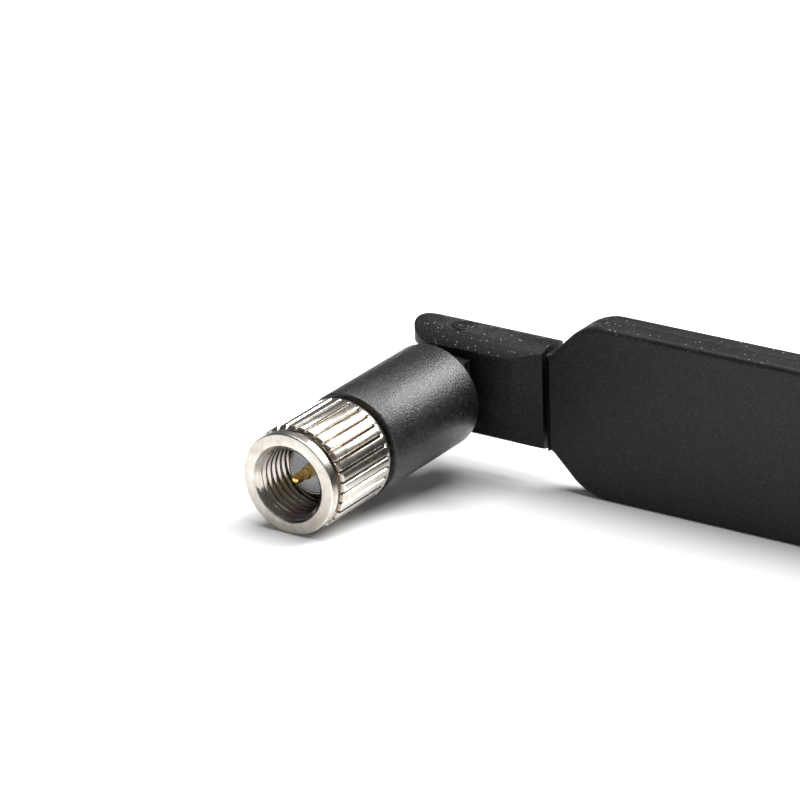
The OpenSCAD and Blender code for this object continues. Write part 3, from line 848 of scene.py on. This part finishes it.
def make_centre_pin():
    bm = turned([
        (0, PIN_TIP), (0.14, PIN_TIP - 0.01), (0.25, PIN_TIP - 0.06), (0.33, PIN_TIP - 0.15),
        (0.38, PIN_TIP - 0.28), (PIN_R - 0.02, PIN_TIP - 0.42), (PIN_R, PIN_TIP - 0.55),
        (PIN_R, MATING + 0.94), (PIN_BASE_R - 0.03, MATING + 0.88), (PIN_BASE_R, MATING + 0.8),
        (PIN_BASE_R, MATING - 0.7), (PIN_TAIL_R, MATING - 0.7),
        (PIN_TAIL_R, INSULATOR_BACK - 0.05), (CUP_R, INSULATOR_BACK - 0.05), (CUP_R, CUP_BACK),
        (CUP_BORE_R, CUP_BACK), (CUP_BORE_R, 19.1), (0, 19.1),
    ], 96)
    return finished("gold_centre_pin", bm, "plug", "gold_plate", ["center_pin"], 40)


def make_retaining_ring():
    bm = turned([
        (RING_GROOVE_R + 0.12, GROOVE_BACK + 0.1), (NUT_GROOVE_R - 0.05, GROOVE_BACK + 0.1),
        (NUT_GROOVE_R - 0.05, FLANGE_BACK - 0.06), (RING_GROOVE_R + 0.12, FLANGE_BACK - 0.06),
    ], 120)
    gap = block((-0.4, -FLANGE_BACK - 1, 0), (0.4, -GROOVE_BACK + 1, 4))
    bm = softened(combined(bm, "DIFFERENCE", gap), 0.05)
    return finished("snap_ring", bm, "coupling_nut_body", "brass_part", ["nut_retaining_ring"])


def make_bushing():
    bm = turned([
        (NUT_BORE_R, 16.97), (4.0, 16.97), (4.0, SLEEVE_FRONT - 0.05),
        (NUT_BORE_R, SLEEVE_FRONT - 0.05),
    ])
    return finished("brass_bushing", softened(bm, 0.08), "sleeve", "brass_part", ["sleeve_bushing"])


# ---------------------------------------------------------------- sleeve and hinge


def make_sleeve():
    r, edge = SLEEVE_R, 0.25
    bm = turned([
        (0, SLEEVE_BACK), (r - edge, SLEEVE_BACK), (r - 0.1, SLEEVE_BACK + 0.05),
        (r - 0.02, SLEEVE_BACK + 0.14), (r, SLEEVE_BACK + edge), (r, SLEEVE_FRONT - edge),
        (r - 0.07, SLEEVE_FRONT - 0.07), (r - edge, SLEEVE_FRONT), (0, SLEEVE_FRONT),
    ], 192)
    tongue = rod(TONGUE_R, (0, 0, -TONGUE_HALF), (0, 0, TONGUE_HALF), 160)
    lug = slab(
        ((-LUG_R, 0), (-2, 0), (-LUG_INNER_X, 1.2), (-LUG_INNER_X, LUG_R), (-LUG_R, 3.3)),
        -TONGUE_HALF, TONGUE_HALF,
    )
    root = block(
        (-ROOT_HALF, -SLEEVE_BACK - 0.5, -TONGUE_HALF), (ROOT_HALF, -TONGUE_STEP, TONGUE_HALF)
    )
    tongue = softened(combined(tongue, "UNION", lug, root), 0.15)
    bm = combined(bm, "UNION", tongue)
    rooms = turned([
        (0, 6.4), (2.6, 6.4), (2.6, 15.35), (3.7, 15.35), (3.7, 16.95),
        (4.01, 16.95), (4.01, SLEEVE_FRONT + 1), (0, SLEEVE_FRONT + 1),
    ])
    slot_root = block((-1.1, -6.9, -CABLE_SLOT_HALF), (1.1, -4, CABLE_SLOT_HALF))
    slot = block((-1.1, -4.2, -CABLE_SLOT_HALF), (7, 7, CABLE_SLOT_HALF))
    pin_hole = rod(HINGE_PIN_R + 0.05, (0, 0, -CLEAR), (0, 0, CLEAR))
    bm = combined(bm, "DIFFERENCE", rooms, slot_root, slot, pin_hole)
    return finished("moulded_sleeve", bm, "sleeve", "sleeve_plastic", ["swivel_sleeve"])


def make_arm():
    barrel = rod(ARM_R, (arm_low.x - 1, 0, 0), (SEAM_X, 0, 0), 192)
    plan = combined(
        slab(
            ((EAR_X, -ARM_HALF_T), (FACET_X, -ARM_HALF_T), (SEAM_X + 1, -SEAM_HALF_T + FACET_SLOPE),
             (SEAM_X + 1, SEAM_HALF_T - FACET_SLOPE), (FACET_X, ARM_HALF_T), (EAR_X, ARM_HALF_T)),
            -CLEAR, CLEAR,
        ),
        "UNION", rod(ARM_HALF_T, (EAR_X, 0, -CLEAR), (EAR_X, 0, CLEAR), 160),
    )
    bm = combined(barrel, "INTERSECT", plan)
    bm = combined(
        bm, "DIFFERENCE",
        rod(SLOT_ROOT_R, (0, 0, -SLOT_HALF), (0, 0, SLOT_HALF), 160),
        block((-CLEAR, -CLEAR, -SLOT_HALF), (0, CLEAR, SLOT_HALF)),
    )
    bm = softened(bm, 0.16, 4)
    spigot = block(
        (SEAM_X - 0.5, -SPIGOT_HALF.y, -SPIGOT_HALF.z), (SPIGOT_X, SPIGOT_HALF.y, SPIGOT_HALF.z)
    )
    bm = combined(bm, "UNION", spigot)
    bm = combined(
        bm, "DIFFERENCE",
        rod(CABLE_BORE_R, (3, CABLE_Y, 0), (SPIGOT_X + 1, CABLE_Y, 0), 48),
        rod(HINGE_PIN_R + 0.04, (0, 0, -CLEAR), (0, 0, CLEAR)),
        block((NOTCH_LOW_X, -3, NOTCH_INNER_Z), (NOTCH_HIGH_X, 3, 3.6)),
        block((NOTCH_LOW_X, -3, -3.6), (NOTCH_HIGH_X, 3, -NOTCH_INNER_Z)),
    )
    return finished("moulded_arm", bm, "blade", "arm_plastic", ["hinge_arm"], 24)


def make_hinge_pins():
    inner = CABLE_SLOT_HALF + 0.15
    low = softened(rod(HINGE_PIN_R, (0, 0, -PIN_END), (0, 0, -inner)), 0.1, 4)
    high = softened(rod(HINGE_PIN_R, (0, 0, inner), (0, 0, PIN_END)), 0.1, 4)
    return finished("moulded_pins", joined(low, high), "blade", "pin_plastic", ["hinge_pins"])


def make_cable_bend():
    """The quarter turn of cable inside the hinge."""
    bm = bmesh.new()
    start = Vector((0, CABLE_Y - BEND_R, 0))
    ring = bmesh.ops.create_circle(
        bm, segments=24, radius=CABLE_R,
        matrix=Matrix.Translation(start) @ Matrix.Rotation(math.pi / 2, 4, "X"),
    )["verts"]
    rims = list({e for v in ring for e in v.link_edges})
    bmesh.ops.spin(
        bm, geom=ring + rims, cent=(BEND_R, CABLE_Y - BEND_R, 0), axis=(0, 0, -1),
        angle=math.pi / 2, steps=28,
    )
    bmesh.ops.holes_fill(bm, edges=[e for e in bm.edges if e.is_boundary])
    piece = finished("hinge_cable", closed(bm), None, "cable_jacket", ["cable_hinge_bend"])
    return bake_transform(piece)


# ---------------------------------------------------------------- blade


def blade_half(side):
    """One half shell: outline, rounded corners, rounded outer rim and a slightly broken rim at the
    parting face.
    """
    inner_y = PARTING_GAP / 2 * (1 + side)
    outer_y = side * BLADE_HALF_T
    ramp_end = RAMP_X + BLADE_HALF_W - NECK_HALF
    corners = [
        (BLADE_START, -NECK_HALF), (RAMP_X, -NECK_HALF), (ramp_end, -BLADE_HALF_W),
        (BLADE_TIP, -BLADE_HALF_W), (BLADE_TIP, BLADE_HALF_W), (ramp_end, BLADE_HALF_W),
        (RAMP_X, NECK_HALF), (BLADE_START, NECK_HALF),
    ]
    bm = bmesh.new()
    flat = bm.faces.new([bm.verts.new((x, inner_y, z)) for x, z in corners])
    grown = bmesh.ops.extrude_face_region(bm, geom=[flat])["geom"]
    rising = [g for g in grown if isinstance(g, bmesh.types.BMVert)]
    bmesh.ops.translate(bm, verts=rising, vec=(0, outer_y - inner_y, 0))
    closed(bm)
    tan_eighth = math.tan(math.pi / 8)
    rounding = {
        (ramp_end, BLADE_HALF_W): (SHOULDER_R * tan_eighth, 14),
        (BLADE_TIP, BLADE_HALF_W): (TIP_R, 20),
        (RAMP_X, NECK_HALF): (0.6 * tan_eighth, 5),
        (BLADE_START, NECK_HALF): (0.6, 5),
    }
    for (x, z), (offset, segments) in rounding.items():
        upright = [
            e for e in bm.edges
            if all(abs(v.co.x - x) < 0.01 and abs(abs(v.co.z) - z) < 0.01 for v in e.verts)
            and abs(e.verts[0].co.y - e.verts[1].co.y) > 0.1
        ]
        bmesh.ops.bevel(
            bm, geom=upright, offset=offset, offset_type="OFFSET", segments=segments,
            profile=0.5, affect="EDGES", material=-1,
        )
    for y, offset, segments in ((outer_y, BLADE_EDGE_R, 8), (inner_y, 0.07, 2)):
        rim = [
            e for e in bm.edges
            if all(abs(v.co.y - y) < 0.001 for v in e.verts) and e.calc_face_angle() > 1
        ]
        bmesh.ops.bevel(
            bm, geom=rim, offset=offset, offset_type="OFFSET", segments=segments,
            profile=0.5, affect="EDGES", material=-1,
        )
    return bm


def shell_room(side):
    """The space cut from a half shell, with rounded far corners, and the spigot's pocket."""
    wall = SHELL_WALL
    near, far = -side * 0.5, side * (BLADE_HALF_T - wall)
    half = BLADE_HALF_W - wall
    room = block((ROOM_X, min(near, far), -half), (BLADE_TIP - wall, max(near, far), half))
    corners = [
        e for e in room.edges
        if all(abs(v.co.x - BLADE_TIP + wall) < 0.01 for v in e.verts)
        and abs(e.verts[0].co.y - e.verts[1].co.y) > 0.1
    ]
    bmesh.ops.bevel(
        room, geom=corners, offset=TIP_R - wall, offset_type="OFFSET", segments=12,
        profile=0.5, affect="EDGES", material=-1,
    )
    reach = SPIGOT_HALF + Vector((0, 0.03, 0.03))
    pocket = block((BLADE_START - 1, -reach.y, -reach.z), (SPIGOT_X + 0.1, reach.y, reach.z))
    duct = block((SPIGOT_X - 1, CABLE_Y - 0.75, -0.75), (ROOM_X + 1, CABLE_Y + 0.75, 0.75))
    return room, pocket, duct


def make_shell(name, side, stands_for):
    bm = combined(blade_half(side), "DIFFERENCE", *shell_room(side), merge_flats=False)
    return finished(name, bm, "blade", "blade_plastic", [stands_for], 24)


# ---------------------------------------------------------------- stage, light and camera


def make_floor():
    """A plain pale table top."""
    bm = bmesh.new()
    bmesh.ops.create_grid(bm, x_segments=1, y_segments=1, size=4)
    table = loose_object("table_top", bm)
    material, _, shader = start_material("pale_table")
    shader.inputs["Base Color"].default_value = (0.9, 0.9, 0.9, 1)
    shader.inputs["Emission Color"].default_value = (1, 1, 1, 1)
    shader.inputs["Emission Strength"].default_value = 0.02
    shader.inputs["Roughness"].default_value = 0.85
    shader.inputs["Specular IOR Level"].default_value = 0.2
    table.data.materials.append(material)


def softbox(name, direction, distance, width, height, radiance):
    """A rectangular area light facing the hinge from a direction in the workshop frame."""
    light = bpy.data.lights.new(name, "AREA")
    light.shape = "RECTANGLE"
    light.size, light.size_y = width, height
    light.energy = radiance * math.pi * width * height
    lamp = bpy.data.objects.new(name, light)
    aim = (lay_down.to_3x3() @ Vector(direction)).normalized()
    facing = aim.to_track_quat("Z", "Y").to_matrix().to_4x4()
    lamp.matrix_world = Matrix.Translation(hinge_at + aim * distance) @ facing
    bpy.context.scene.collection.objects.link(lamp)


def make_light():
    world = bpy.data.worlds.new("studio")
    world.use_nodes = True
    backdrop = world.node_tree.nodes["Background"]
    backdrop.inputs["Color"].default_value = (0.96, 0.98, 1.0, 1)
    backdrop.inputs["Strength"].default_value = 0.15
    bpy.context.scene.world = world
    softbox("rear_box", (0.33, 0.74, 0.59), 1.3, 0.75, 0.5, 18.0)
    softbox("overhead_box", (0.0, 0.2, 0.98), 1.2, 1.2, 1.0, 5.4)


def make_camera():
    """A long lens looking down on the plug end, set by its place and axes about the hinge."""
    place = Vector((222.768, -335.593, 167.013))
    right = Vector((0.83213497, 0.55367793, -0.03149828))
    back = Vector((0.52085224, -0.7607719, 0.38721966))
    up = back.cross(right)
    turn = Matrix((right, up, back)).transposed()
    lens = bpy.data.cameras.new("main_view")
    lens.sensor_width = 36
    lens.lens = 225
    lens.clip_start, lens.clip_end = 0.01, 20
    view = bpy.data.objects.new("main_view", lens)
    rotation = Matrix.Rotation(lean, 3, "X") @ turn
    view.matrix_world = Matrix.Translation(lay_down @ place) @ rotation.to_4x4()
    bpy.context.scene.collection.objects.link(view)
    bpy.context.scene.camera = view
    bpy.context.scene.view_settings.view_transform = "Standard"


make_camera()
dress_frame_nodes()
make_nut()
make_plug_body()
make_insulator()
make_centre_pin()
make_retaining_ring()
make_bushing()
make_sleeve()
make_arm()
make_hinge_pins()
make_cable_bend()
make_shell("front_half_shell", -1, "blade_front_shell")
make_shell("rear_half_shell", 1, "blade_rear_shell")
make_floor()
make_light()
